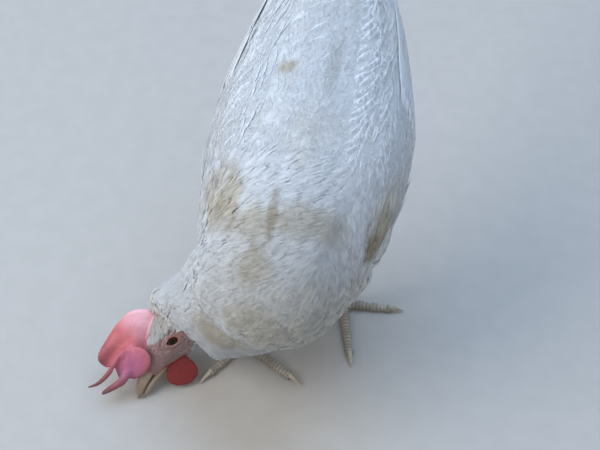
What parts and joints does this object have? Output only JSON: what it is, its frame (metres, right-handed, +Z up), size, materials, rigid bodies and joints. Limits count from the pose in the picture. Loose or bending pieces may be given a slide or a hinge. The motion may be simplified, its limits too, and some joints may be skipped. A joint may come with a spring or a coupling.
{
  "type": "white laying hen",
  "caption": "Life-size standing model of a white laying hen bent down to peck beside her foot, with a large folded red comb.",
  "frame": {"origin": "on the floor, under the middle of the hen's overall box", "axes": "+Z up; the trunk heads along -Y, so the breast is at -Y and the tail at +Y; the hen's left side is at +X"},
  "size_m": [0.2176, 0.3512, 0.4285],
  "materials": {
    "plumage": "soft white feathers, cream where worn",
    "bare_skin": "bare pinkish skin with fine bristles",
    "comb_red": "soft red skin, finely grained",
    "earlobe": "smooth whitish skin",
    "horn": "satin horn",
    "eye": "wet dark brown",
    "leg_scales": "dull pale yellow scales, soiled"
  },
  "bodies": {
    "root": {"beak_lower": "horn", "beak_upper": "horn", "claw_left_hind": "horn", "claw_left_inner": "horn", "claw_left_middle": "horn", "claw_left_outer": "horn", "claw_right_hind": "horn", "claw_right_inner": "horn", "claw_right_middle": "horn", "claw_right_outer": "horn", "comb": "comb_red", "earlobe_left": "earlobe", "earlobe_right": "earlobe", "eye_left": "eye", "eye_right": "eye", "head": "bare_skin", "neck_lower": "plumage", "neck_upper": "plumage", "shank_left": "leg_scales", "shank_right": "leg_scales", "tail_coverts": "plumage", "tail_left": "plumage", "tail_right": "plumage", "thigh_left": "plumage", "thigh_right": "plumage", "toe_left_hind": "leg_scales", "toe_left_inner": "leg_scales", "toe_left_middle": "leg_scales", "toe_left_outer": "leg_scales", "toe_right_hind": "leg_scales", "toe_right_inner": "leg_scales", "toe_right_middle": "leg_scales", "toe_right_outer": "leg_scales", "trunk": "plumage", "wattle_left": "comb_red", "wattle_right": "comb_red", "wing_left": "plumage", "wing_right": "plumage"}
  },
  "joints": []
}
